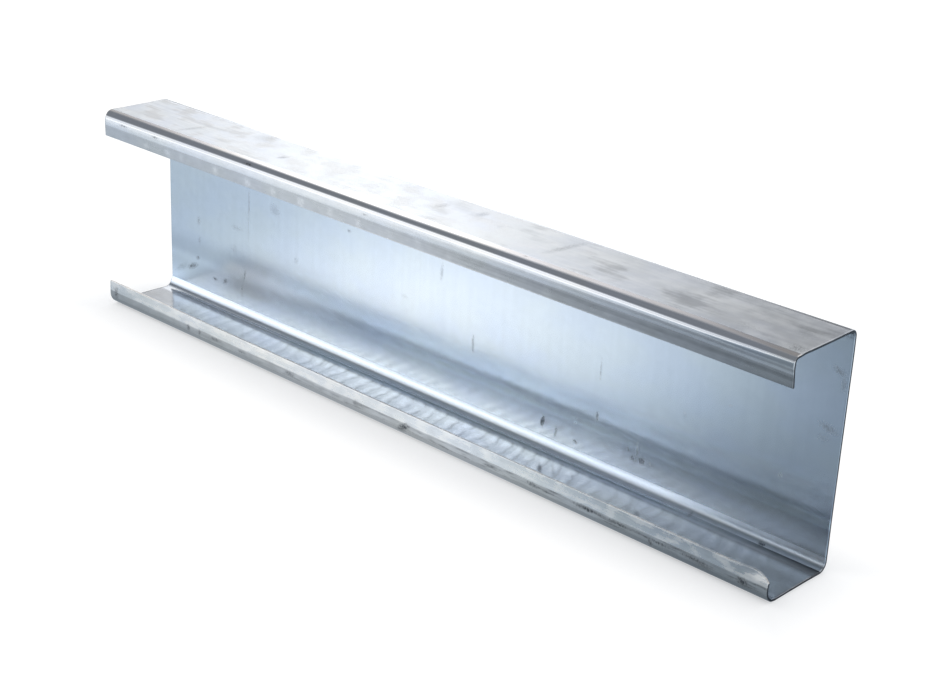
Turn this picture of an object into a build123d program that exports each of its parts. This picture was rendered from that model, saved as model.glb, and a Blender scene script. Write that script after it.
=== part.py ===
from build123d import *
import os

# A length of galvanised C-purlin: one strip of sheet roll-formed into a lipped channel.
# It stands on its bottom flange. +X runs along its length towards the end with the worn lip,
# the mouth between the lips faces -Y, the web is at +Y and +Z is up.
# The origin is the middle of the footprint, on the plane that it stands on.

# Section, measured over the outside of the sheet
web_height = 200.0
flange_width = 80.0
lip_height = 25.0
sheet_thickness = 2.3
inner_bend_radius = 6.0

# Stock length between the sheared ends
purlin_length = 800.0

# Rounding of the sheet's corners along the two slit edges, at the free edge of each lip
slit_edge_radius = 0.5

# Worn corner of the bottom lip at the +X end: where it starts along the lip, back from the
# end, and how far the edge has dropped by the time that it reaches the end
worn_length = 16.0
worn_drop = 6.0

outer_bend_radius = inner_bend_radius + sheet_thickness
web_face = flange_width / 2
lip_face = -flange_width / 2
near_end = purlin_length / 2

with BuildPart() as c_purlin:
    with BuildSketch(Plane.YZ.offset(-purlin_length / 2)) as section:
        # Outside of the strip, from the top lip's edge round to the bottom lip's edge
        with BuildLine():
            FilletPolyline(
                (lip_face, web_height - lip_height),
                (lip_face, web_height),
                (web_face, web_height),
                (web_face, 0),
                (lip_face, 0),
                (lip_face, lip_height),
                radius=outer_bend_radius,
            )
            offset(amount=sheet_thickness, side=Side.RIGHT)
        make_face()
        # The sheet's two corners at each slit edge
        for slit_edge_height in (web_height - lip_height, lip_height):
            corners = section.vertices().sort_by_distance((lip_face, slit_edge_height))[:2]
            fillet(corners, radius=min(slit_edge_radius, 0.4 * sheet_thickness))
    extrude(amount=purlin_length)

    # The worn corner leaves the lip's edge on a tangent and curves down to the sheared end
    with BuildSketch(Plane.XZ.offset(-lip_face)):
        with BuildLine():
            wear_start = (near_end - worn_length, lip_height)
            wear_end = (near_end, lip_height - worn_drop)
            TangentArc(wear_start, wear_end, tangent=(1, 0))
            Polyline(wear_end, (near_end, lip_height), wear_start)
        make_face()
    extrude(amount=-outer_bend_radius, mode=Mode.SUBTRACT)

c_purlin.part.label = "c_purlin"

os.makedirs("parts", exist_ok=True)
export_step(c_purlin.part, "parts/c_purlin.step")
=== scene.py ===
import math
import bpy
from mathutils import Matrix, Vector, noise


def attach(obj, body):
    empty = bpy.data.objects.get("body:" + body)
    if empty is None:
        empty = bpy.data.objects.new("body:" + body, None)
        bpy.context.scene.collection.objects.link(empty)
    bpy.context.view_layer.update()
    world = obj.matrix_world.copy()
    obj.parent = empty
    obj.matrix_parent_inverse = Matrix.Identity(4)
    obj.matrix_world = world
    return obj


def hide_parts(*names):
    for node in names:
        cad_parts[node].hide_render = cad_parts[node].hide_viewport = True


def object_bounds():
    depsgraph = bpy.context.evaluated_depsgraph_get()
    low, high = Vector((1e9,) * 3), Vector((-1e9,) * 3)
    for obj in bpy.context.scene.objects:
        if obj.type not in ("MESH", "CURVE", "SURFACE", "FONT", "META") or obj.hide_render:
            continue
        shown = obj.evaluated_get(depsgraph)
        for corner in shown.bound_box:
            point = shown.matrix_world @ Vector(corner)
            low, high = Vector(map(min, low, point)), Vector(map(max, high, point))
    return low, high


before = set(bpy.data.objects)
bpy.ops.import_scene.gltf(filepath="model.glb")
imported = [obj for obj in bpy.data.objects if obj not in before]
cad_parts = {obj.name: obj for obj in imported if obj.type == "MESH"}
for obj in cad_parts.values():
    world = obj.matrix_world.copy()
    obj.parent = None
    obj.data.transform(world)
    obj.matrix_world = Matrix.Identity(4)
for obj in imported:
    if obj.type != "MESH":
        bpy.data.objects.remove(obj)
cadLow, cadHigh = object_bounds()
print("frame loaded")


# One socket of a node. What changes over a surface is written as sums of these
class Wire:
    def __init__(self, finish, socket):
        self.finish = finish
        self.socket = socket

    def math(self, operation, *values, clamp=False):
        settings = {"operation": operation, "use_clamp": clamp}
        return self.finish.node("ShaderNodeMath", settings, dict(enumerate(values)))

    def __add__(self, other):
        return self.math("ADD", self, other)

    __radd__ = __add__

    def __sub__(self, other):
        return self.math("SUBTRACT", self, other)

    def __rsub__(self, other):
        return self.math("SUBTRACT", other, self)

    def __mul__(self, other):
        return self.math("MULTIPLY", self, other)

    __rmul__ = __mul__

    def __truediv__(self, other):
        return self.math("DIVIDE", self, other)

    def __neg__(self):
        return self * -1

    def __abs__(self):
        return self.math("ABSOLUTE", self)

    def clamped(self):
        return self.math("ADD", self, 0, clamp=True)

    def largest(self, other):
        return self.math("MAXIMUM", self, other)


class Finish:
    def __init__(self, tree):
        self.tree = tree
        tree.nodes.clear()

    # Any other node: its settings go in first, then the values or links of its sockets
    def node(self, kind, settings=None, sockets=None, out=0):
        made = self.tree.nodes.new(kind)
        for key, value in (settings or {}).items():
            if key == "stops":
                self.setStops(made.color_ramp, value)
            else:
                setattr(made, key, value)
        for key, value in (sockets or {}).items():
            socket = made.inputs[key]
            if isinstance(value, Wire):
                self.tree.links.new(value.socket, socket)
            else:
                socket.default_value = (*value, 1) if socket.type == "RGBA" else value
        return Wire(self, made.outputs[out]) if len(made.outputs) else None

    def setStops(self, ramp, stops):
        while len(ramp.elements) < len(stops):
            ramp.elements.new(0.5)
        for element, (place, colour) in zip(ramp.elements, stops):
            element.position, element.color = place, (*colour, 1)

    # 0 before low, 1 past high, smooth between
    def rise(self, value, low, high):
        sockets = {"Value": value, "From Min": low, "From Max": high}
        return self.node("ShaderNodeMapRange", {"interpolation_type": "SMOOTHSTEP"}, sockets)

    # 1 between the two places, fading over the soft width outside them
    def between(self, value, low, high, soft):
        return self.rise(value, low - soft, low) * (1 - self.rise(value, high, high + soft))

    def tint(self, factor, under, over, blend="MIX"):
        settings = {"data_type": "RGBA", "blend_type": blend}
        return self.node("ShaderNodeMix", settings, {0: factor, 6: under, 7: over}, out=2)

    def rays(self, *names):
        path = self.node("ShaderNodeLightPath").socket.node
        return [Wire(self, path.outputs[name]) for name in names]

    # The three numbers of a vector, or of a node's first output
    def parts(self, vector):
        apart = self.node("ShaderNodeSeparateXYZ", {}, {"Vector": vector}).socket.node
        return [Wire(self, apart.outputs[axis]) for axis in "XYZ"]

    def ramp(self, factor, stops, smooth="LINEAR"):
        made = self.node("ShaderNodeValToRGB", {"stops": stops}, {"Fac": factor})
        made.socket.node.color_ramp.interpolation = smooth
        return made

    def light(self, kind, colour, strength=1.0):
        return self.node("ShaderNode" + kind, {}, {"Color": colour, "Strength": strength})

    # The shader under it where the share is 0, the one over it where the share is 1
    def mixed(self, share, under, over):
        return self.node("ShaderNodeMixShader", {}, {0: share, 1: under, 2: over})

    def bump(self, height, strength, depth):
        return self.node("ShaderNodeBump", {}, {"Height": height, "Strength": strength, "Distance": depth})

    def metal(self, colour, rough, metallic, bump):
        sockets = {"Base Color": colour, "Roughness": rough, "Metallic": metallic, "Normal": bump}
        self.shown(self.node("ShaderNodeBsdfPrincipled", {}, sockets))

    def shown(self, shader, kind="Material"):
        self.node("ShaderNodeOutput" + kind, {}, {"Surface": shader})


def newMaterial(name):
    material = bpy.data.materials.new(name)
    material.use_nodes = True
    return material, Finish(material.node_tree)


def newObject(name, data):
    made = bpy.data.objects.new(name, data)
    bpy.context.scene.collection.objects.link(made)
    return made


def newMesh(name, points, faces):
    mesh = bpy.data.meshes.new(name)
    mesh.from_pydata(points, [], faces)
    return mesh


# The photograph's camera, found from the purlin's own edges
camera = {
    "azimuth": 42.47, "elevation": 22.36, "roll": 2.81, "distance": 1.4828,
    "aimX": 0.1001, "aimZ": 0.1111, "focalPixels": 1824.9, "pictureWidth": 951, "sensorWidth": 36,
    "clips": (0.01, 100),
}


def placeCamera():
    data = bpy.data.cameras.new("camera")
    made = newObject("camera", data)
    data.sensor_width = camera["sensorWidth"]
    data.lens = data.sensor_width * camera["focalPixels"] / camera["pictureWidth"]
    data.clip_start, data.clip_end = camera["clips"]
    around, up = math.radians(camera["azimuth"]), math.radians(camera["elevation"])
    back = Vector((math.sin(around) * math.cos(up), -math.cos(around) * math.cos(up), math.sin(up)))
    aim = Vector((camera["aimX"], cadLow.y, camera["aimZ"]))
    level = back.to_track_quat("Z", "Y").to_matrix().to_4x4()
    turn = Matrix.Rotation(math.radians(camera["roll"]), 4, "Z")
    made.matrix_world = Matrix.Translation(aim + back * camera["distance"]) @ level @ turn
    bpy.context.scene.camera = made


# The sheet: what the section is rolled from, in metres
sheet = {
    "thickness": 0.0023, "innerBend": 0.006, "lip": 0.025, "edgeRounding": 0.0005,
    "wornLength": 0.016, "wornDrop": 0.006, "bevelShare": 0.6,
    # the outer radius of three bends, along the purlin and at its near end, and where it changes
    "bendRadius": {"bendA": (0.008, 0.0052), "bendB": (0.008, 0.0068), "bendD": (0.0122, 0.0125)},
    "bendChanges": 0.31,
    # a narrow face pressed along the web's foot: how high up it starts, how it leans, how softly it
    # starts, the outer radius of the bend under it, and where it fades out towards the near end. The
    # steps are extra rows of points beside that bend
    "foot": {"height": 0.0112, "lean": 24.5, "soft": 0.0008, "radius": 0.0099, "fadesOut": (0.22, 0.4)},
    "footSteps": (0.0006, 0.0013, 0.002, 0.0026, 0.0031, 0.0036, 0.0041, 0.0047, 0.0055, 0.0065),
    # how a bend runs on into a flat, at the flat's start and at its stop: how far, and how steeply
    # along the purlin and at its near end
    "runOn": {
        "lipTop": ([], [(0.0057, 0.14, 0.1)]),
        "flangeTop": ([(0.009, 0.03, 0.14)], [(0.012, 0.02, 0.02)]),
        "web": ([(0.03, 0.03, 0.03)], []),
    },
    "runOnChanges": 0.1,
    # near its end the top flange droops to its front, and the lip under it leans in
    "nearEnd": 0.09, "droop": 0.0012, "lipLean": 0.0018,
    # the bottom lip's edge curls in towards the worn corner
    "curl": 0.0026, "curlLength": 0.04, "curlDepth": 0.012, "curlPower": 1.5,
    # shallow waves left by the rolls: how softly they start, how deep the flat is set, and each
    # wave's depth, length and seed. Each lip wanders a little along its free edge
    "waves": {
        "flangeTop": (0.02, 0.0003, [(0.0002, 0.12, 5.2)]),
        "web": (0.05, 0.0003, [(0.0003, 0.16, 3.1), (0.00012, 0.06, 7.7)]),
        "flangeLow": (0.02, 0.0003, [(0.0002, 0.07, 9.4)]),
    },
    "waveNarrows": 1.6, "lipSet": 0.0002, "lipWander": (0.0002, 0.05, 12.5),
    # how close the points are
    "station": 0.005, "endStation": 0.0012, "endStretch": 0.024,
    "flatStep": 0.0045, "lipStep": 0.0014, "bendSteps": 12, "edgeTurns": (30, 60),
    "slopeReach": 0.0002, "creaseAngle": 50,
    # the inner face is marked further across than the outer one, and has noise of its own
    "insideMark": 0.6, "insideFrom": (0.5, 0.55), "insideSeed": 40,
}


class Section:
    def __init__(self, low, high):
        self.low, self.high = low, high
        self.outerBend = sheet["innerBend"] + sheet["thickness"]
        middle = sheet["innerBend"] + sheet["thickness"] / 2
        self.bendRun = bend = math.pi / 2 * middle
        lip = sheet["lip"] - self.outerBend
        flange = high.y - low.y - 2 * self.outerBend
        web = high.z - low.z - 2 * self.outerBend
        runs = {"lipTop": lip, "bendA": bend, "flangeTop": flange, "bendB": bend, "web": web,
                "bendC": bend, "flangeLow": flange, "bendD": bend, "lipLow": lip}
        self.names = list(runs)
        self.start, self.stop, self.total = {}, {}, 0
        for name, run in runs.items():
            self.start[name] = self.total
            self.total += run
            self.stop[name] = self.total

    def nameAt(self, across):
        return next((name for name in self.names if across <= self.stop[name]), self.names[-1])

    # Where a stretch starts and stops, in millimetres
    def span(self, name):
        return self.start[name] * 1000, self.stop[name] * 1000

    # Place on the outer face and its outward direction, by the distance across the flattened strip
    def at(self, across):
        name = self.nameAt(across)
        along = across - self.start[name]
        front, back, bottom, top = self.low.y, self.high.y, self.low.z, self.high.z
        bend = self.outerBend
        flats = {"lipTop": (front, top - sheet["lip"], 0, 1), "flangeTop": (front + bend, top, 1, 0),
                 "web": (back, top - bend, 0, -1), "flangeLow": (back - bend, bottom, -1, 0),
                 "lipLow": (front, bottom + bend, 0, 1)}
        if name in flats:
            y, z, stepY, stepZ = flats[name]
            return y + stepY * along, z + stepZ * along, -stepZ, stepY
        corners = {"bendA": (front + bend, top - bend, 180), "bendB": (back - bend, top - bend, 90),
                   "bendC": (back - bend, bottom + bend, 0), "bendD": (front + bend, bottom + bend, -90)}
        y, z, first = corners[name]
        angle = math.radians(first - 90 * along / self.bendRun)
        normal = math.cos(angle), math.sin(angle)
        return y + bend * normal[0], z + bend * normal[1], normal[0], normal[1]

    def samples(self):
        rounding = sheet["edgeRounding"]
        places = []
        for name in self.names:
            run = self.stop[name] - self.start[name]
            step = sheet["lipStep"] if name.startswith("lip") else sheet["flatStep"]
            steps = sheet["bendSteps"] if name.startswith("bend") else round(run / step)
            places += [self.start[name] + run * i / steps for i in range(steps)]
        places += [self.stop["web"] - gap for gap in sheet["footSteps"]]
        places += [self.start["flangeLow"] + gap for gap in sheet["footSteps"]]
        places = [p for p in sorted(places) if rounding < p < self.total - rounding]
        edges = [rounding * (1 - math.cos(math.radians(a))) for a in sheet["edgeTurns"]] + [rounding]
        return [0] + edges + places + [self.total - e for e in reversed(edges)] + [self.total]


section = Section(cadLow, cadHigh)


def ease(value, low, high):
    into = max(0.0, min(1.0, (value - low) / (high - low)))
    return into * into * (3 - 2 * into)


# The next few give how far the sheet stands in from its true section, in metres. This is for a
# bend that is tighter or wider
def bendDepth(along, across):
    own = section.outerBend
    for name, (radius, nearRadius) in sheet["bendRadius"].items():
        radius += (nearRadius - radius) * ease(along, sheet["bendChanges"], cadHigh.x)
        wider = radius - own
        outside = max(section.start[name] - across, across - section.stop[name])
        if outside >= max(wider, 0):
            continue
        if outside > 0:
            return radius - math.sqrt(radius ** 2 - (wider - outside) ** 2)
        turn = math.pi / 2 * (across - section.start[name]) / section.bendRun
        side, up = math.sin(turn), math.cos(turn)
        centre = -wider * (side + up)
        reach = centre + math.sqrt(centre ** 2 - 2 * wider ** 2 + radius ** 2)
        if min(reach * side, reach * up) < -wider:
            reach = own / max(side, up)
        return own - reach
    return 0.0


# The pressed face at the web's foot and the bend under it
def footDepth(along, across):
    foot, own = sheet["foot"], section.outerBend
    turn = math.radians(foot["lean"])
    radius, slope = foot["radius"], math.tan(turn)
    # where the face meets the bend's arc, and the arc's centre
    meets = foot["height"] - radius * (1 - math.sin(turn))
    centreIn, centreUp = meets * slope + radius * math.cos(turn), radius
    share = 1 - ease(along, *foot["fadesOut"])
    depth = 0.0
    if across <= section.stop["web"]:
        below = foot["height"] - own - (section.stop["web"] - across)
        soft = foot["soft"]
        if below > -soft:
            depth = slope * (below if below > soft else (below + soft) ** 2 / (4 * soft))
    elif across < section.start["flangeLow"]:
        angle = math.pi / 2 * (across - section.start["bendC"]) / section.bendRun
        side, up = math.cos(angle), math.sin(angle)
        reach = (own - (foot["height"] - own) * slope) / (side + slope * up)
        if own - reach * up < radius * (1 - math.sin(turn)):
            offIn, offUp = centreIn - own, centreUp - own
            half = offIn * side + offUp * up
            reach = -half + math.sqrt(half ** 2 + radius ** 2 - offIn ** 2 - offUp ** 2)
        depth = own - reach
    else:
        short = centreIn - own - (across - section.start["flangeLow"])
        if 0 < short < radius:
            depth = radius - math.sqrt(radius ** 2 - short ** 2)
    return depth * share


# How far in, and how steep, a flat is at a distance from a bend
def runOn(name, side, gap, along):
    near = ease(along, sheet["runOnChanges"], cadHigh.x)
    depth = slope = 0.0
    for run, steep, nearSteep in sheet["runOn"].get(name, ([], []))[side]:
        if gap < run:
            steep += (nearSteep - steep) * near
            depth += steep * (run - gap) ** 2 / (2 * run)
            slope += steep * (run - gap) / run
    return depth, slope


# A bend's springy run into the flats beside it, smooth all the way through the bend
def runOnDepth(along, across):
    name = section.nameAt(across)
    if not name.startswith("bend"):
        before = runOn(name, 0, across - section.start[name], along)
        after = runOn(name, 1, section.stop[name] - across, along)
        return before[0] + after[0]
    place = section.names.index(name)
    startDepth, startSlope = runOn(section.names[place - 1], 1, 0.0, along)
    stopDepth, stopSlope = runOn(section.names[place + 1], 0, 0.0, along)
    t, long = (across - section.start[name]) / section.bendRun, section.bendRun
    depth = (2 * t ** 3 - 3 * t ** 2 + 1) * startDepth + (3 * t ** 2 - 2 * t ** 3) * stopDepth
    depth += (t ** 3 - 2 * t ** 2 + t) * long * startSlope
    return depth - (t ** 3 - t ** 2) * long * stopSlope


# The waves in the flats, and the wander of the lips' edges
def waveDepth(along, across):
    def wave(deep, size, seed):
        return deep * noise.noise(Vector((along / size, across / size * sheet["waveNarrows"], seed)))

    depth = 0.0
    name = section.nameAt(across)
    if name in sheet["waves"]:
        soft, depth, waves = sheet["waves"][name]
        for one in waves:
            depth += wave(*one)
        depth *= ease(min(across - section.start[name], section.stop[name] - across), 0, soft)
    freeEdge = ease(sheet["lip"] / 2 - min(across, section.total - across), 0, sheet["lip"] / 2)
    return depth + freeEdge * (sheet["lipSet"] + wave(*sheet["lipWander"]))


# The outer face, with all of that in it
def outerFace(along, across):
    y, z, normalY, normalZ = section.at(across)
    depth = bendDepth(along, across) + runOnDepth(along, across) + waveDepth(along, across)
    depth += footDepth(along, across)
    near = ease(along, cadHigh.x - sheet["nearEnd"], cadHigh.x)
    depth += sheet["lipLean"] * near * max(0.0, 1 - across / section.start["bendA"])
    curl = sheet["curl"] * ease(along, cadHigh.x - sheet["curlLength"], cadHigh.x)
    depth += curl * ease(across, section.total - sheet["curlDepth"], section.total) ** sheet["curlPower"]
    if across < section.start["web"]:
        z -= sheet["droop"] * near * (cadHigh.y - y) / (cadHigh.y - cadLow.y)
    return y - normalY * depth, z - normalZ * depth


# Its outward direction, from two places close to either side
def outwards(along, across):
    reach = sheet["slopeReach"]
    beforeY, beforeZ = outerFace(along, max(0.0, across - reach))
    afterY, afterZ = outerFace(along, min(section.total, across + reach))
    stepY, stepZ = afterY - beforeY, afterZ - beforeZ
    long = math.hypot(stepY, stepZ)
    return -stepZ / long, stepY / long


# How far the bottom lip's edge has dropped: the same tangent arc as the solid's worn corner
def wornEdge(along):
    into = along - (cadHigh.x - sheet["wornLength"])
    if into <= 0:
        return 0.0
    length, drop = sheet["wornLength"], sheet["wornDrop"]
    radius = (length * length + drop * drop) / (2 * drop)
    return radius - math.sqrt(radius * radius - into * into)


# Where the rows of points are along it, closer towards the bevelled ends
def stations():
    rounding = sheet["edgeRounding"] * sheet["bevelShare"]
    low, high, stretch = cadLow.x, cadHigh.x, sheet["endStretch"]
    fine = round(stretch / sheet["endStation"])
    coarse = round((high - low - 2 * stretch) / sheet["station"])
    places = [low + rounding + (stretch - rounding) * i / fine for i in range(fine)]
    places += [low + stretch + (high - low - 2 * stretch) * i / coarse for i in range(coarse)]
    places += [high - stretch + (stretch - rounding) * i / fine for i in range(fine + 1)]
    return [low] + places + [high]


# The points of both faces, and their marks along and across the sheet
def sheetPoints(alongList, acrossList):
    rounding, thickness = sheet["edgeRounding"], sheet["thickness"]
    bevel = rounding * sheet["bevelShare"]
    lipStart = section.start["lipLow"]
    whole = section.total - lipStart
    points, marks = [], []
    for along in alongList:
        atEnd = along in (alongList[0], alongList[-1])
        drop = wornEdge(along)
        for side in (0, 1):
            for across in acrossList:
                edge = min(across, section.total - across)
                inset = rounding - math.sqrt(max(0.0, rounding ** 2 - max(0.0, rounding - edge) ** 2))
                depth = inset if side == 0 else thickness - inset
                if atEnd:
                    depth = max(depth, bevel) if side == 0 else min(depth, thickness - bevel)
                place = across
                if across > lipStart and drop:
                    place = lipStart + (across - lipStart) * (whole - drop) / whole
                y, z = outerFace(along, place)
                normalY, normalZ = outwards(along, place)
                points.append((along, y - normalY * depth, z - normalZ * depth))
                marks.append((along, place + side * sheet["insideMark"]))
    return points, marks


def rollPurlin():
    alongList, acrossList = stations(), section.samples()
    points, marks = sheetPoints(alongList, acrossList)
    faces, kinds, slitEdges = [], [], set()
    last = len(acrossList) - 1

    def spot(k, side, i):
        return (k * 2 + side) * len(acrossList) + i

    for k in range(len(alongList) - 1):
        for i in range(last):
            faces.append((spot(k, 0, i), spot(k, 0, i + 1), spot(k + 1, 0, i + 1), spot(k + 1, 0, i)))
            faces.append((spot(k, 1, i), spot(k + 1, 1, i), spot(k + 1, 1, i + 1), spot(k, 1, i + 1)))
            name = section.nameAt((acrossList[i] + acrossList[i + 1]) / 2)
            kinds += [coatOutside.get(name, plainZinc), coatInside.get(name, plainZinc)]
        faces.append((spot(k, 0, 0), spot(k + 1, 0, 0), spot(k + 1, 1, 0), spot(k, 1, 0)))
        faces.append((spot(k, 0, last), spot(k, 1, last), spot(k + 1, 1, last), spot(k + 1, 0, last)))
        kinds += [topLipZinc, bottomLipZinc]
        slitEdges.update((len(faces) - 2, len(faces) - 1))
    far, near = 0, len(alongList) - 1
    for i in range(last):
        faces.append((spot(far, 0, i), spot(far, 1, i), spot(far, 1, i + 1), spot(far, 0, i + 1)))
        faces.append((spot(near, 0, i), spot(near, 0, i + 1), spot(near, 1, i + 1), spot(near, 1, i)))
        kinds += [shearedSteel] * 2
    mesh = newMesh("purlinSheet", points, faces)
    strip = mesh.uv_layers.new(name="strip")
    for face, kind in zip(mesh.polygons, kinds):
        face.material_index = coats.index(kind)
        for index in face.loop_indices:
            along, across = marks[mesh.loops[index].vertex_index]
            # a slit edge is all marked as the outer face is
            if face.index in slitEdges and across > section.total:
                across -= sheet["insideMark"]
            strip.data[index].uv = along, across
    mesh.polygons.foreach_set("use_smooth", [True] * len(faces))
    mesh.set_sharp_from_angle(angle=math.radians(sheet["creaseAngle"]))
    mesh.update()
    return newObject("purlinSheet", mesh)


# How torn a spot's outline is. A cloud is its size along and across the sheet, its seed, its
# detail and, where it has only one use, how strong it is
torn = {
    "shaken": (1.9, 1.9, 17, 4), "bitten": (1.1, 2.0, 18, 3, 1.5),
    "reach": 1.7, "solid": 1.1, "solidBitten": 1.9, "rimBitten": 0.3, "rim": (0.08, 1.1),
}


# Millimetres along the purlin and across the flattened sheet
class Strip:
    def __init__(self, finish):
        self.finish = finish
        u, v = finish.parts(finish.node("ShaderNodeUVMap", {"uv_map": "strip"}))[:2]
        self.inside = finish.rise(v, *sheet["insideFrom"])
        self.along = u * 1000
        self.across = (v - sheet["insideMark"] * self.inside) * 1000

    def spread(self, alongSize, acrossSize, seed):
        seed = self.inside * sheet["insideSeed"] + seed
        sockets = {0: self.along / alongSize, 1: self.across / acrossSize, 2: seed}
        return self.finish.node("ShaderNodeCombineXYZ", {}, sockets)

    # Soft blotches about 0, from -0.5 to 0.5 times how strong they are
    def clouds(self, alongSize, acrossSize, seed, detail, *strong):
        sockets = {"Vector": self.spread(alongSize, acrossSize, seed), "Scale": 1.0, "Detail": detail}
        made = self.finish.node("ShaderNodeTexNoise", {}, sockets) - 0.5
        return made * strong[0] if strong else made

    # Zinc crystals: one grey for each
    def spangle(self, size, seed):
        sockets = {"Vector": self.spread(size, size, seed), "Scale": 1.0}
        cells = self.finish.node("ShaderNodeTexVoronoi", {}, sockets, out=1)
        return self.finish.parts(cells)[0] - 0.5

    # 1 over the named stretch, fading outside it
    def over(self, name, soft=0.8):
        return self.finish.between(self.across, *section.span(name), soft)

    # 1 over most of the named stretch, fading to 0 at its borders
    def within(self, name, soft):
        low, high = section.span(name)
        return self.finish.between(self.across, low + soft, high - soft, soft)

    # The strongest of many soft spots, each (along, across, half width, half height, how strong)
    # and, if it leans, by how many degrees
    def spots(self, places, shake):
        wobble = self.clouds(*torn["shaken"]) * shake
        shaken = {0: self.along + wobble, 1: self.across - wobble}
        shaken = self.finish.node("ShaderNodeCombineXYZ", {}, shaken)
        bitten = self.clouds(*torn["bitten"])
        solid = torn["solid"] + bitten * torn["solidBitten"]
        strongest = None
        for along, across, halfWidth, halfHeight, strength, *lean in places:
            spot = self.finish.node("ShaderNodeMapping", {"vector_type": "TEXTURE"}, {
                "Vector": shaken, "Location": (along, across, 0),
                "Rotation": (0, 0, math.radians(sum(lean))),
                "Scale": (halfWidth * torn["reach"], halfHeight * torn["reach"], 1),
            })
            shape = {"gradient_type": "SPHERICAL"}
            spot = self.finish.node("ShaderNodeTexGradient", shape, {"Vector": spot})
            spot = self.finish.rise(spot * solid + bitten * torn["rimBitten"], *torn["rim"]) * strength
            strongest = spot if strongest is None else strongest.largest(spot)
        return strongest


# The zinc as it is everywhere
zinc = {
    "coat": (0.69, 0.724, 0.747), "blueCoat": (0.665, 0.705, 0.762), "blueFrom": (-0.15, 0.15),
    "oxide": (0.8, 0.81, 0.815), "spent": (0.44, 0.465, 0.49), "grimeAndShade": (0.02, 0.027, 0.036),
    "rough": 0.25, "bendRough": 0.12, "leastRough": 0.1,
    "broad": (70, 45, 1, 3), "blotch": (14, 10, 2, 4), "peel": (1.3, 1.3, 3, 2),
    "rolled": (150, 1.4, 6, 4), "crystals": (6.0, 4),
    # how much they add to the tone, the roughness and the relief
    "tones": {"broad": 0.08, "blotch": 0.05, "crystal": 0.02, "peel": 0.03, "rolled": 0.14},
    "broadRough": 0.05, "blotchRough": 0.04, "rolledRough": 0.08,
    "peelRelief": 0.07, "rolledRelief": 0.4, "bump": 0.5, "bumpDepth": 0.00012,
    "specks": (1.6, 2.4, 14, 2), "speckFrom": (0.3, 0.36), "speckDirt": 0.22,
    "broken": (1.5, 3.2, 15, 3, 2.2), "dirtHides": 0.9,
    # how much less metallic, and how much rougher, they leave it
    "dulls": {"dirt": 0.2, "oxide": 0.3, "bloom": 0.2},
    "roughens": {"oxide": 0.14, "spent": 0.2, "dirt": 0.25},
}


# Crystals, soft blotches, and lines that the rolls drew along the bends, with one coat's own look
class Coating:
    def __init__(self, name, look=None):
        self.material, self.finish = newMaterial(name)
        self.strip, self.look = Strip(self.finish), look or {}
        bends = sum(self.strip.over("bend" + which) for which in "ABCD")
        made = {key: self.strip.clouds(*zinc[key]) for key in ("broad", "blotch", "peel", "rolled")}
        made["rolled"] = bends * made["rolled"]
        made["crystal"] = self.strip.spangle(*zinc["crystals"])
        self.broad, self.blotch = made["broad"], made["blotch"]
        self.tone = 1
        for key, share in zinc["tones"].items():
            self.tone += made[key] * share
        self.rough = zinc["rough"] + self.broad * zinc["broadRough"] + self.blotch * zinc["blotchRough"]
        self.rough -= bends * (zinc["rough"] - zinc["bendRough"])
        self.rough = self.rough.largest(zinc["leastRough"]) + made["rolled"] * zinc["rolledRough"]
        self.relief = made["peel"] * zinc["peelRelief"] + made["rolled"] * zinc["rolledRelief"]
        self.oxide = self.spent = self.dirt = self.bloom = 0

    def clouds(self, key):
        return self.strip.clouds(*self.look[key])

    def rise(self, value, key):
        return self.finish.rise(value, *self.look[key])

    def between(self, value, key):
        return self.finish.between(value, *self.look[key])

    def finished(self):
        finish, strip = self.finish, self.strip
        colour = finish.tint(finish.rise(self.broad, *zinc["blueFrom"]), zinc["coat"], zinc["blueCoat"])
        colour = finish.tint(self.oxide, colour, zinc["oxide"])
        colour = finish.tint(self.spent, colour, zinc["spent"])
        colour = finish.tint(1.0, colour, self.tone, "MULTIPLY")
        if "cast" in self.look:
            colour = finish.tint(1.0, colour, self.look["cast"], "MULTIPLY")
        specks = finish.rise(strip.clouds(*zinc["specks"]), *zinc["speckFrom"]) * zinc["speckDirt"]
        self.dirt = (specks.largest(self.dirt) * (1 + strip.clouds(*zinc["broken"]))).clamped()
        # dirt in the grime colour; on the web this also carries one painted shade
        colour = finish.tint(self.dirt * zinc["dirtHides"], colour, zinc["grimeAndShade"])
        metallic, rough = 1, self.rough
        for key, share in zinc["dulls"].items():
            metallic -= getattr(self, key) * share
        for key, share in zinc["roughens"].items():
            rough += getattr(self, key) * share
        bump = finish.bump(self.relief, zinc["bump"], zinc["bumpDepth"])
        finish.metal(colour, rough.clamped(), metallic.clamped(), bump)
        return self.material
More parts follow.
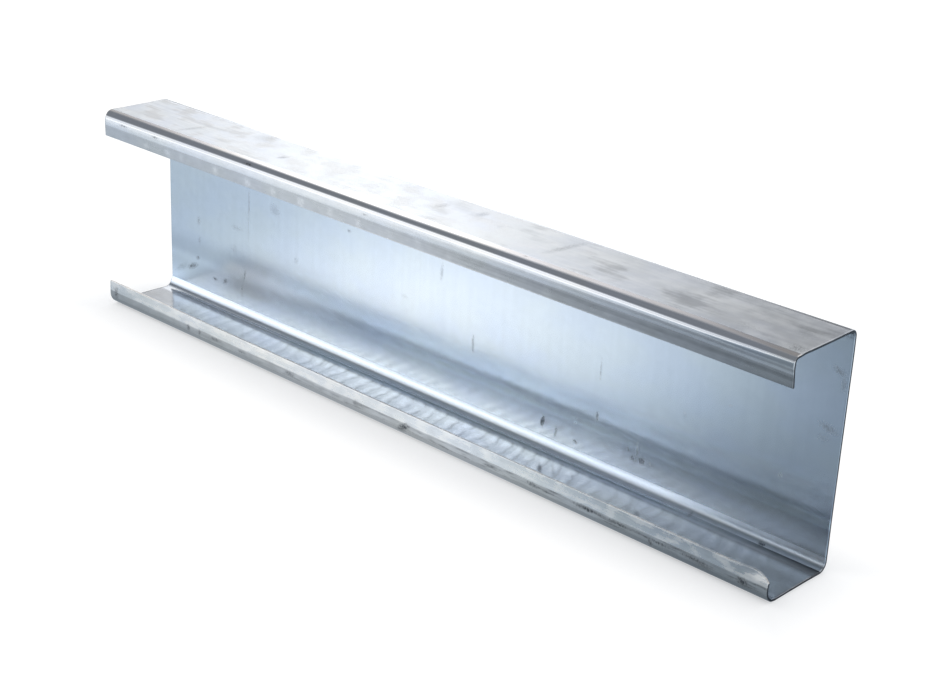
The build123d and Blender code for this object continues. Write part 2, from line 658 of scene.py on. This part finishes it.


# Inside of the web and its bends: satin, with the ticks and smudges of handling, one painted shade in the
# inner top bend at the near end, and painted reflection, highlight and shade across its lower part
web = {
    "soft": 4, "dragged": (5, 130, 5, 4, 0.07),
    # smoother towards the bottom bend, and dull over the bend
    "smootherFrom": (215, 250), "smootherBy": 0.055,
    "dullOver": (284, 298, 2.5), "dullBy": 0.26,
    # painted reflection, highlight and shade across its lower part: a darker band where it mirrors the lip,
    # a brighter band above the bottom bend and a dark line in the bend under it
    "tone": [
        (222, 1), (230, 0.96), (238, 0.86), (247, 0.86), (251, 0.99), (254, 1.07), (258, 1),
        (262, 0.98), (270, 1.05), (279, 1.34), (284, 1.27), (286.5, 1.05), (288.5, 0.78), (290.5, 0.44),
        (293, 0.62), (297, 1.02), (301, 1),
    ],
    # a paler line above the bottom bend, along the near half: painted light that lightens the dark
    # reflection of the bottom lip's bend there
    "line": (252, 257, 4), "lineFrom": (-180, 0), "lineBy": 0.34,
    "shake": 3.2,
    "marks": [
        (-277, 174, 0.9, 13, 0.4), (-278, 198, 0.7, 16, 0.16), (-239, 170, 7, 5, 0.24, 25),
        (-135, 163, 2.4, 1.3, 0.5), (-15, 169, 1.8, 7, 0.26, 4), (-296, 203, 7, 2.4, 0.16),
        (-355, 211, 2.4, 4, 0.3), (-354, 231, 2.2, 4, 0.2), (-357, 251, 2.6, 1.5, 0.6, -30),
        (-366, 262, 8, 2.6, 0.62, -25), (-384, 268, 10, 3, 0.22, -30), (-330, 266, 3, 1.8, 0.62),
        (-314, 264, 3.2, 2.2, 0.55, -40), (-284, 250, 1.1, 9, 0.42, 12), (-288, 266, 1.2, 9, 0.3),
        (-300, 226, 5, 4, 0.14), (-208, 212, 3, 3, 0.14), (-60, 205, 4, 2, 0.1),
        (26, 225, 1.4, 8, 0.42), (170, 202, 0.8, 9, 0.28), (170, 244, 1, 5, 0.62),
        (147, 258, 0.9, 10, 0.3), (111, 269, 2.2, 4.6, 1, 6), (126, 273, 1.5, 5, 0.46, 6),
        (148, 275, 2.4, 1.6, 0.55, 20), (214, 259, 1.3, 6.5, 0.62), (219, 267, 3.2, 3, 0.66, -20),
        (210, 268, 3.8, 2.4, 0.42, 12), (228, 267, 3, 2.4, 0.3), (178, 267, 6, 1.6, 0.22),
        (205, 262, 3, 1.2, 0.35, 30), (352, 230, 1.4, 1.8, 0.5), (306, 244, 1.2, 1.2, 0.3),
        (388, 178, 8, 3, 0.34, 15), (384, 187, 5, 2.4, 0.16), (391, 131, 6, 2.2, 0.42, 20),
        # the spot at 397 along and 96 across is a painted shade: the dark inner top bend at the near end
        (396, 140, 2, 5, 0.3), (350, 277, 0.9, 8, 0.2), (397, 96, 9, 6, 0.75), (60, 246, 2, 1.2, 0.12),
        (258, 212, 1.5, 3, 0.12), (300, 190, 2, 1.2, 0.1),
    ],
}

# Marks on the bend under it, which the flange shows too
footMarks = [(277, 298, 1.6, 4.5, 0.6), (345, 295, 3.2, 2.4, 0.85, 15), (300, 298.5, 30, 2, 0.2)]


def webZinc():
    coat = Coating("webZinc", web)
    strip = coat.strip
    coat.tone += strip.within("web", web["soft"]) * coat.clouds("dragged")
    coat.rough -= coat.rise(strip.across, "smootherFrom") * web["smootherBy"]
    coat.rough += coat.between(strip.across, "dullOver") * web["dullBy"]
    # painted reflection, highlight and shade along the web's lower part, as a tone ramp across it
    first, last = web["tone"][0][0], web["tone"][-1][0]
    most = max(tone for place, tone in web["tone"])
    stops = [((place - first) / (last - first), (tone / most,) * 3) for place, tone in web["tone"]]
    coat.tone *= coat.finish.ramp((strip.across - first) / (last - first), stops, "B_SPLINE")
    # painted light: a paler line over a dark reflection, along the near half
    line = coat.between(strip.across, "line") * coat.rise(strip.along, "lineFrom")
    coat.tone *= most * (1 + line * web["lineBy"])
    # dirt marks, and the one painted shade in the inner top bend at the near end
    coat.dirt = strip.spots(web["marks"] + footMarks, web["shake"])
    return coat.finished()


# Top of the top flange: chalky clouds, faint streaks along it and greyer patches
chalky = {
    "soft": 1.5, "rougher": 0.1, "nearHalf": (-90, 260), "nearEnd": (300, 400), "farEnd": (-330, -130),
    "chalk": (26, 20, 7, 5), "chalkTone": 0.26, "drawn": (80, 4.5, 8, 4), "drawnTone": 0.1,
    "grey": (44, 30, 9, 4), "greyDrawn": 0.25, "greyFrom": (0.02, 0.22),
    "greyTone": 0.05, "greyNear": 0.15, "greySpent": 0.35, "nearEndTone": 0.1,
    "farDrawn": 0.3, "farFrom": (-0.04, 0.14), "farTone": 0.2,
    "oxideDrawn": 0.3, "oxideFrom": (-0.1, 0.16), "oxide": 0.8, "oxideNear": 0.45,
    # grey rubs
    "shake": 5,
    "marks": [
        (-300, 45, 3, 14, 0.2, -12), (-232, 78, 12, 9, 0.13), (-176, 52, 3, 5, 0.28, -15),
        (12, 66, 4, 8, 0.16), (50, 76, 4, 6, 0.22), (150, 66, 3.5, 20, 0.26, -8), (168, 72, 10, 3, 0.1),
        (275, 52, 12, 14, 0.06), (310, 84, 22, 4, 0.1), (345, 40, 8, 6, 0.16), (392, 34, 7, 5, 0.4),
        (384, 62, 10, 8, 0.14),
    ],
}


def chalkyZinc():
    coat = Coating("chalkyZinc", chalky)
    strip = coat.strip
    flat = strip.within("flangeTop", chalky["soft"])
    chalk, drawn = coat.clouds("chalk"), coat.clouds("drawn")
    grey = flat * coat.rise(coat.clouds("grey") - drawn * chalky["greyDrawn"], "greyFrom")
    nearHalf = coat.rise(strip.along, "nearHalf")
    farEnd = 1 - coat.rise(strip.along, "farEnd")
    coat.tone += flat * (drawn * chalky["drawnTone"] + chalk * chalky["chalkTone"])
    coat.tone -= grey * (chalky["greyTone"] + nearHalf * chalky["greyNear"])
    coat.tone -= coat.rise(strip.along, "nearEnd") * flat * chalky["nearEndTone"]
    faded = coat.rise(chalk - drawn * chalky["farDrawn"], "farFrom")
    coat.tone -= farEnd * flat * faded * chalky["farTone"]
    oxide = coat.rise(chalk + drawn * chalky["oxideDrawn"], "oxideFrom")
    coat.oxide = flat * oxide * (chalky["oxide"] - nearHalf * chalky["oxideNear"])
    coat.spent = grey * nearHalf * chalky["greySpent"]
    coat.rough += flat * chalky["rougher"]
    coat.dirt = strip.spots(chalky["marks"], chalky["shake"]) * flat
    return coat.finished()


# Top lip and its bend: the rolls left the lip's lower band dull, with pale blooms, and lines
# that the worn near half shows best
topLip = {
    "cast": (1.08, 1, 0.94), "wornFrom": (-120, 300), "wander": (45, 60, 19, 3),
    "bandEdge": 11, "bandSways": 1.6, "bandSoft": (-0.8, 0.6),
    "bandTone": 0.8, "bandWorn": 0.66, "bandSpent": 0.15,
    "lines": (110, 1.6, 21, 4), "linesTone": 0.16, "linesWorn": 0.2, "patches": (9, 4, 22, 4, 0.2),
    # the clearest two: from where to where, how soft, how much darker
    "wornLines": [(13.4, 14.9, 0.7, 0.24), (6.2, 8.6, 1, 0.12)], "linesSway": 1.5,
    "bloomTorn": (3, 3, 20, 2, 1.6), "bloomSolid": 0.7, "bloomTone": 0.3, "bloomShake": 4,
    "blooms": [
        (-335, 4.6, 4.5, 3, 0.5), (-302, 5, 4.5, 3.6, 0.7), (-282, 5.2, 3, 3, 0.5),
        (-232, 5, 4, 3.6, 0.85), (-187, 4.6, 4.6, 3.6, 0.95), (-152, 4.8, 3.6, 4, 0.8),
        (-115, 4.8, 4.2, 3.6, 1), (-77, 5, 4, 4, 0.6), (-42, 5, 3, 5, 0.75), (-4, 5, 5, 3, 0.35),
        (30, 7, 5, 6, 0.4), (66, 4, 3, 3, 0.3), (120, 5, 3, 3, 0.3), (171, 5, 4, 4, 0.35),
        (232, 4, 4, 2.5, 0.3),
    ],
    # dark nicks on its bend
    "nickShake": 3,
    "nicks": [
        (-188, 21.3, 6, 1.1, 1), (-370, 15.6, 5, 0.9, 0.6), (-322, 15.8, 4, 0.9, 0.6),
        (-34, 14.3, 3, 0.8, 0.4), (-100, 27.5, 3, 0.8, 0.4), (142, 26.6, 2.5, 0.8, 0.4),
    ],
}


def topLipZinc():
    coat = Coating("topLipZinc", topLip)
    strip = coat.strip
    wander, nearer = coat.clouds("wander"), coat.rise(strip.along, "wornFrom")
    edge = topLip["bandEdge"] + wander * topLip["bandSways"]
    lowerBand = 1 - coat.rise(strip.across - edge, "bandSoft")
    coat.bloom = strip.spots(topLip["blooms"], topLip["bloomShake"]) * lowerBand
    coat.bloom *= topLip["bloomSolid"] + coat.clouds("bloomTorn")
    lip = strip.over("lipTop")
    dull = 1 - topLip["bandTone"] + nearer * (topLip["bandTone"] - topLip["bandWorn"])
    coat.tone *= 1 - lowerBand * dull
    coat.tone += lip * coat.clouds("lines") * (topLip["linesTone"] + nearer * topLip["linesWorn"])
    coat.tone += lip * coat.clouds("patches")
    coat.tone += coat.bloom * topLip["bloomTone"]
    for low, high, soft, darker in topLip["wornLines"]:
        line = coat.finish.between(strip.across - wander * topLip["linesSway"], low, high, soft)
        coat.tone -= nearer * line * darker
    coat.spent = lowerBand * topLip["bandSpent"]
    coat.dirt = strip.spots(topLip["nicks"], topLip["nickShake"])
    return coat.finished()


# Bottom flange, inside: pale strokes with dark edges where the coil rubbed across it, and painted shade
# that darkens the flat, and the bend towards the near end
scuffed = {
    "soft": 1.5, "smoother": 0.09, "blotchTone": 0.2,
    "zone": (307, 334, 5), "ends": (-335, 340, 40), "best": (-110, 120, 110), "elsewhere": 0.35,
    "pitch": 15, "lean": 0.22, "bow": 2.5, "drift": (55, 45, 10, 2, 1.6), "jitter": (9, 7, 23, 3, 0.35),
    "patches": (20, 11, 11, 3), "patchFrom": (-0.22, 0.1),
    "pale": (0.26, 0.42, 0.2), "paleTone": 0.22, "paleOxide": 0.3,
    "dark": (0.72, 0.76, 0.12), "darkTone": 0.18,
    # the flat is painted darker, more so towards the near end: a painted shade that leaves out the bend
    "tone": 0.57, "toneWorn": 0.13, "wornFrom": (60, 300), "dulledOver": (307.5, 360, 4),
    # the bend is painted darker towards the near end: a painted shade
    "grimy": 0.84, "grimyFrom": (265, 396), "grimyOver": (296, 303, 11), "shake": 3,
}


def scuffedZinc():
    coat = Coating("scuffedZinc", scuffed)
    finish, strip = coat.finish, coat.strip
    low, high = scuffed["zone"][:2]
    flat = strip.within("flangeLow", scuffed["soft"])
    bow = (strip.across - (low + high) / 2) / ((high - low) / 2)
    count = strip.along - strip.across * scuffed["lean"] + bow * bow * scuffed["bow"]
    count = count / scuffed["pitch"] + coat.clouds("drift") + coat.clouds("jitter")
    turn = count.math("FRACT", count)
    rubbed = coat.between(strip.across, "zone") * coat.between(strip.along, "ends")
    rubbed *= scuffed["elsewhere"] + (1 - scuffed["elsewhere"]) * coat.between(strip.along, "best")
    rubbed *= coat.rise(coat.clouds("patches"), "patchFrom")
    paleStroke = coat.between(turn, "pale") * rubbed
    darkStroke = coat.between(turn, "dark") * rubbed
    # painted shade: the flat darker, more so towards the near end
    nearer = scuffed["toneWorn"] * coat.rise(strip.along, "wornFrom")
    coat.tone *= 1 - (nearer + (1 - scuffed["tone"])) * coat.between(strip.across, "dulledOver")
    coat.tone += paleStroke * scuffed["paleTone"]
    coat.tone -= darkStroke * scuffed["darkTone"]
    coat.tone += flat * coat.blotch * scuffed["blotchTone"]
    # painted shade on the bend towards the near end
    grimy = coat.rise(strip.along, "grimyFrom") * coat.between(strip.across, "grimyOver")
    coat.tone *= 1 - grimy * scuffed["grimy"]
    coat.rough -= flat * scuffed["smoother"]
    coat.oxide = paleStroke * scuffed["paleOxide"]
    coat.dirt = strip.spots(footMarks, scuffed["shake"])
    return coat.finished()


# Bottom lip and its bend: pale towards the edge, then a dull band with broken dirt along it
lowLip = {
    "cast": (1.06, 0.98, 0.9), "bandEdge": 378.6, "bandSways": (30, 60, 24, 4, 2.2),
    "bandSoft": (-0.8, 0.9), "bandTone": 0.71, "bandSpent": 0.3,
    "patches": (16, 8, 12, 5), "drawn": (60, 1.8, 25, 3, 0.4), "patchTone": 0.42,
    "oxide": 0.45, "oxideFrom": (-0.05, 0.12),
    # darker over its far half
    "nearHalf": (-70, 110), "farTone": 0.13,
    "broken": (22, 2.4, 13, 4), "breaks": (-0.02, 0.16), "dirtFrom": (-460, 260),
    "dirtOver": (372.5, 378, 1.2), "dirt": 0.6, "nickShake": 3,
    "nicks": [
        (20, 374, 8, 3.2, 0.9, 30), (-275, 376, 2, 3.2, 0.7), (-258, 376, 2, 3, 0.55),
        (-235, 376, 8, 1.6, 0.6), (-195, 376, 6, 1.4, 0.45), (-128, 376, 6, 2, 0.6),
        (-40, 377, 3, 3, 0.5), (-390, 378, 3, 6, 0.6), (170, 376, 6, 1.8, 0.75),
        (228, 376.5, 14, 1.5, 0.9), (262, 376, 14, 1.2, 0.8), (300, 375.5, 12, 1.2, 0.7),
        (335, 375.5, 14, 1.4, 0.7), (291, 373, 2, 3.5, 0.7), (378, 375, 5, 3.2, 0.9),
    ],
}


def bottomLipZinc():
    coat = Coating("bottomLipZinc", lowLip)
    strip = coat.strip
    dull = 1 - coat.rise(strip.across - lowLip["bandEdge"] - coat.clouds("bandSways"), "bandSoft")
    dull *= coat.finish.rise(strip.across, *section.span("bendD"))
    patches = strip.over("lipLow") * (coat.clouds("patches") + coat.clouds("drawn"))
    coat.tone *= 1 - dull * (1 - lowLip["bandTone"])
    coat.tone += patches * lowLip["patchTone"]
    coat.tone *= 1 - lowLip["farTone"] * (1 - coat.rise(strip.along, "nearHalf"))
    coat.spent = dull * lowLip["bandSpent"]
    coat.oxide = (1 - dull) * coat.rise(patches, "oxideFrom") * lowLip["oxide"] * strip.over("lipLow")
    broken = coat.rise(coat.clouds("broken"), "breaks") * coat.rise(strip.along, "dirtFrom")
    streak = coat.between(strip.across, "dirtOver") * broken * lowLip["dirt"]
    coat.dirt = strip.spots(lowLip["nicks"], lowLip["nickShake"]).largest(streak)
    return coat.finished()


def plainZinc():
    return Coating("plainZinc").finished()


# Bare steel where the length was sheared, greyed by handling
sheared = {
    "bright": (0.09, 0.1, 0.115), "dark": (0.03, 0.035, 0.042), "brightFrom": (0.35, 0.65),
    "grain": 900, "grainShare": 0.6, "patch": 60, "patchShare": 0.4,
    "rough": 0.5, "roughBy": 0.25, "metallic": 0.9, "bump": 0.4, "bumpDepth": 0.0002,
}


def shearedSteel():
    material, finish = newMaterial("shearedSteel")
    place = finish.node("ShaderNodeTexCoord", {}, {}, out=3)
    grain = finish.node("ShaderNodeTexNoise", {}, {"Vector": place, "Scale": sheared["grain"], "Detail": 3})
    patch = finish.node("ShaderNodeTexNoise", {}, {"Vector": place, "Scale": sheared["patch"], "Detail": 2})
    pale = grain * sheared["grainShare"] + patch * sheared["patchShare"]
    colour = finish.tint(finish.rise(pale, *sheared["brightFrom"]), sheared["dark"], sheared["bright"])
    rough = sheared["rough"] + sheared["roughBy"] * (grain - 0.5)
    bump = finish.bump(grain, sheared["bump"], sheared["bumpDepth"])
    finish.metal(colour, rough, sheared["metallic"], bump)
    return material


# Which coat each stretch of the sheet shows, inside the channel and outside it
coats = [webZinc, chalkyZinc, topLipZinc, scuffedZinc, bottomLipZinc, plainZinc, shearedSteel]
coatInside = {"bendB": webZinc, "web": webZinc, "bendC": webZinc, "flangeLow": scuffedZinc}
coatOutside = {
    "lipTop": topLipZinc, "bendA": topLipZinc, "flangeTop": chalkyZinc,
    "bendD": bottomLipZinc, "lipLow": bottomLipZinc,
}


# A pale floor, a soft lamp, and the brighter and dimmer sides of the room that the metal mirrors.
# Each stop is (where, how bright)
room = {
    "floorHalf": 4, "floorDrop": 0.0002, "floorPaint": (0.9, 0.9, 0.9),
    "floorWhite": 1.1, "floorGlow": 0.35, "shadeReach": (-0.02, 0.09), "mostLight": 2.4,
    # the floor, in bands further and further from the purlin
    "poolTint": (0.88, 1, 1.12), "poolSpan": (-1, 1),
    "poolClose": [
        (-1, 0.66), (-0.62, 0.66), (-0.46, 0.7), (-0.37, 0.8), (-0.23, 0.98), (-0.1, 1.14),
        (-0.03, 1.17), (0.06, 1.12), (0.13, 0.98), (0.25, 0.62), (0.34, 0.44), (0.65, 0.6), (1, 0.85),
    ],
    "poolNear": [
        (-1, 0.66), (-0.62, 0.69), (-0.5, 0.8), (-0.4, 1.1), (-0.32, 1.34), (-0.22, 1.46),
        (-0.12, 1.36), (0, 1.12), (0.1, 0.81), (0.18, 0.53), (0.26, 0.34), (0.4, 0.32), (0.65, 0.7),
        (1, 0.85),
    ],
    "poolAway": [
        (-1, 0.62), (-0.82, 0.78), (-0.65, 0.88), (-0.5, 1.02), (-0.32, 0.8), (-0.13, 0.52), (0, 0.42),
        (0.07, 0.34), (0.2, 0.27), (0.4, 0.34), (0.7, 0.7), (1, 0.85),
    ],
    "poolBeyond": [
        (-1, 0.98), (-0.85, 1.1), (-0.65, 1.3), (-0.5, 1.12), (-0.32, 0.68), (-0.12, 0.32), (0, 0.24),
        (0.2, 0.28), (0.6, 0.7), (1, 0.85),
    ],
    "poolSkyline": [(-1, 1.6), (-0.75, 1.25), (-0.5, 0.75), (-0.2, 0.5), (0.3, 0.55), (1, 0.9)],
    "bands": [("poolNear", (0.06, 0.09)), ("poolAway", (0.24, 0.38)), ("poolBeyond", (0.42, 0.56)),
              ("poolSkyline", (0.9, 1.5))],
    "underneath": (0.03, 0.052), "pastEnds": (0.39, 0.43), "underneathLight": 0.4,
    # the sky, by how far along the purlin its light comes from
    "frontFrom": (-0.05, 0.2), "calmLight": (0.95, 0.97, 1), "backTint": (1, 1, 1.02),
    "backLight": [
        (0, 0.85), (0.28, 0.8), (0.4, 0.27), (0.48, 0.25), (0.53, 0.62), (0.58, 0.92), (0.61, 1.02),
        (0.63, 1.25), (0.65, 2.05), (0.7, 2.3), (0.73, 1.55), (0.755, 0.78), (0.78, 0.52), (1, 0.6),
    ],
    "frontTint": (0.92, 1, 1.09), "duskTint": 1.2, "leastTint": 0.4,
    "frontLight": [
        (0, 0.85), (0.2, 0.8), (0.31, 0.36), (0.46, 0.34), (0.49, 0.56), (0.55, 1.02), (0.61, 1.55),
        (0.66, 1.5), (0.72, 1.02), (0.8, 0.9), (1, 0.9),
    ],
    "skylineLight": [
        (0, 0.85), (0.28, 0.8), (0.4, 0.42), (0.48, 0.52), (0.55, 1.1), (0.62, 1.38), (0.7, 1.4),
        (0.78, 1.12), (1, 0.9),
    ],
    # how much brighter the front sky is by how steeply the light comes in, and from where
    "riseGain": [(0, 0), (0.12, 0), (0.25, 1), (0.75, 1), (1, 0)], "riseFrom": (0.46, 0.53),
    "overhead": 0.8, "overheadFrom": (0.8, 0.92),
    # light that has met the sheet twice comes up out of the channel: how much brighter the front sky
    # is by how steeply it leaves, and how much brighter again after more meetings, and where
    "twice": (2.2, 2.8), "oftener": (3.2, 3.8), "leastOut": 0.01,
    "steepGain": [(0, 0.45), (0.28, 0.6), (0.42, 1.55), (0.64, 1.55), (0.8, 1), (1, 0.95)],
    "deepGain": 4.6, "deepFrom": (0.51, 0.61), "deepTo": (0.65, 0.695),
    "shallow": (0.22, 0.42), "shallowGain": 2.4,
    # a dim card over the top front bend draws the dark line along it. It fades in and out by the
    # angle round the bend, further round away from its middle
    "cardReach": 0.15, "cardHalf": 1.2, "cardAngles": (-10, 150, 5), "cardLight": (0.222, 0.25, 0.29),
    "cardFadesIn": (-0.02, 0.52), "cardFadesOut": (0.98, 1.66), "cardMiddle": -0.12, "cardWidens": 1.2,
    "lampPower": 14, "lampSize": 2.2, "lampPlace": (-1.5, -1.6, 1.9),
}


# The dimmer a stop is, the more of its tint it shows
def lightStops(stops, tint, span=(0.0, 1.0)):
    wide = span[1] - span[0]
    made = []
    for place, light in stops:
        deep = max(room["leastTint"], 1 + room["duskTint"] * (1 - light))
        colour = tuple(light / room["mostLight"] * part ** deep for part in tint)
        made.append(((place - span[0]) / wide, colour))
    return made


def layFloor():
    half = room["floorHalf"]
    corners = [(-half, -half, 0), (half, -half, 0), (half, half, 0), (-half, half, 0)]
    mesh = newMesh("floor", corners, [(0, 1, 2, 3)])
    floor = newObject("floor", mesh)
    floor.location.z = cadLow.z - room["floorDrop"]
    material, finish = newMaterial("paleFloor")
    isCamera, isGlossy = finish.rays("Is Camera Ray", "Is Glossy Ray")
    x, y = finish.parts(finish.node("ShaderNodeNewGeometry"))[:2]
    low, high = room["poolSpan"]
    place = (x - low) / (high - low)

    def pool(name):
        return finish.ramp(place, lightStops(room[name], room["poolTint"], room["poolSpan"]))

    mirror = pool("poolClose")
    for name, reach in room["bands"]:
        mirror = finish.tint(finish.rise(abs(y), *reach), mirror, pool(name))
    # the floor that the metal mirrors is painted darker right under the purlin: a painted shadow
    lift = finish.rise(abs(y), *room["underneath"]).largest(finish.rise(abs(x), *room["pastEnds"]))
    lift = room["underneathLight"] + (1 - room["underneathLight"]) * lift
    mirror = finish.tint(1.0, mirror, lift, "MULTIPLY")
    paint = finish.node("ShaderNodeBsdfDiffuse", {}, {"Color": room["floorPaint"]})
    white = finish.light("Emission", (1, 1, 1), room["floorWhite"])
    clear = (abs(x) - cadHigh.x).largest(abs(y) - cadHigh.y)
    glow = room["floorGlow"] + (1 - room["floorGlow"]) * finish.rise(clear, *room["shadeReach"])
    lit = finish.mixed(isCamera, paint, finish.mixed(glow, paint, white))
    mirrored = finish.light("Emission", mirror, room["mostLight"])
    finish.shown(finish.mixed(isGlossy, lit, mirrored))
    mesh.materials.append(material)


def hangSky():
    world = bpy.data.worlds.new("studio")
    bpy.context.scene.world = world
    world.use_nodes = True
    finish = Finish(world.node_tree)
    isCamera, isGlossy, bounces = finish.rays("Is Camera Ray", "Is Glossy Ray", "Ray Depth")
    x, y, z = finish.parts(finish.node("ShaderNodeTexCoord"))

    def side(value, name, tint=(1, 1, 1)):
        return finish.ramp(value, lightStops(room[name], tint))

    front = side(abs(x), "frontLight", room["frontTint"])
    skyline = side(abs(x), "skylineLight", room["frontTint"])
    back = side(abs(x), "backLight", room["backTint"])
    # the sky counts itself as one more meeting
    again = finish.rise(bounces, *room["twice"])
    deep = finish.rise(bounces, *room["oftener"])
    steep = z / (-y).largest(room["leastOut"])
    gain = side(steep, "steepGain")
    where = finish.rise(abs(x), *room["deepFrom"]) * (1 - finish.rise(abs(x), *room["deepTo"]))
    shallow = 1 + (room["shallowGain"] - 1) * (1 - finish.rise(steep, *room["shallow"]))
    gain = gain * room["mostLight"] * (1 + deep * where * (room["deepGain"] * shallow - 1))
    front = finish.tint(1.0, front, gain, "MULTIPLY")
    lift = side(steep, "riseGain") * room["mostLight"]
    lift = 1 + lift * finish.rise(abs(x), *room["riseFrom"])
    skyline = finish.tint(1.0, skyline, lift, "MULTIPLY")
    front = finish.tint(again, skyline, front)
    sky = finish.tint(finish.rise(-y, *room["frontFrom"]), back, front)
    above = room["overhead"] / room["mostLight"]
    sky = finish.tint(finish.rise(z, *room["overheadFrom"]), sky, (above, above, above))
    calm = finish.light("Background", room["calmLight"])
    lit = finish.mixed(isGlossy, calm, finish.light("Background", sky, room["mostLight"]))
    finish.shown(finish.mixed(isCamera, lit, finish.light("Background", (1, 1, 1))), "World")


def hangCard():
    bend = section.outerBend
    centreY, centreZ, reach = cadLow.y + bend, cadHigh.z - bend, room["cardReach"]
    first, last, step = room["cardAngles"]
    points = []
    for angle in range(first, last + 1, step):
        turn = math.radians(angle)
        y, z = centreY - reach * math.cos(turn), centreZ + reach * math.sin(turn)
        points += [(-room["cardHalf"], y, z), (room["cardHalf"], y, z)]
    faces = [(i, i + 1, i + 3, i + 2) for i in range(0, len(points) - 2, 2)]
    mesh = newMesh("card", points, faces)
    card = newObject("card", mesh)
    # only the metal sees it
    card.visible_camera = card.visible_diffuse = card.visible_shadow = False
    material, finish = newMaterial("dimCard")
    x, y, z = finish.parts(finish.node("ShaderNodeNewGeometry"))
    angle = z.math("ARCTAN2", z - centreZ, centreY - y)
    further = abs(x - room["cardMiddle"]) * room["cardWidens"]
    shade = finish.rise(angle, *room["cardFadesIn"])
    shade = shade * (1 - finish.rise(angle - further, *room["cardFadesOut"]))
    clear = finish.node("ShaderNodeBsdfTransparent")
    finish.shown(finish.mixed(shade, clear, finish.light("Emission", room["cardLight"])))
    mesh.materials.append(material)


def hangLamp():
    data = bpy.data.lights.new("softLamp", "AREA")
    data.energy = room["lampPower"]
    data.size = room["lampSize"]
    lamp = newObject("softLamp", data)
    lamp.location = room["lampPlace"]
    lamp.rotation_mode = "QUATERNION"
    lamp.rotation_quaternion = Vector(room["lampPlace"]).to_track_quat("Z", "Y")
    lamp.visible_glossy = False


placeCamera()
print("camera placed")
purlin = rollPurlin()
for coat in coats:
    purlin.data.materials.append(coat())
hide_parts("c_purlin")
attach(purlin, "root")
print("purlin rolled,", len(purlin.data.polygons), "faces")
layFloor()
hangSky()
hangCard()
hangLamp()
bpy.context.scene.view_settings.view_transform = "Standard"
print("studio lit")
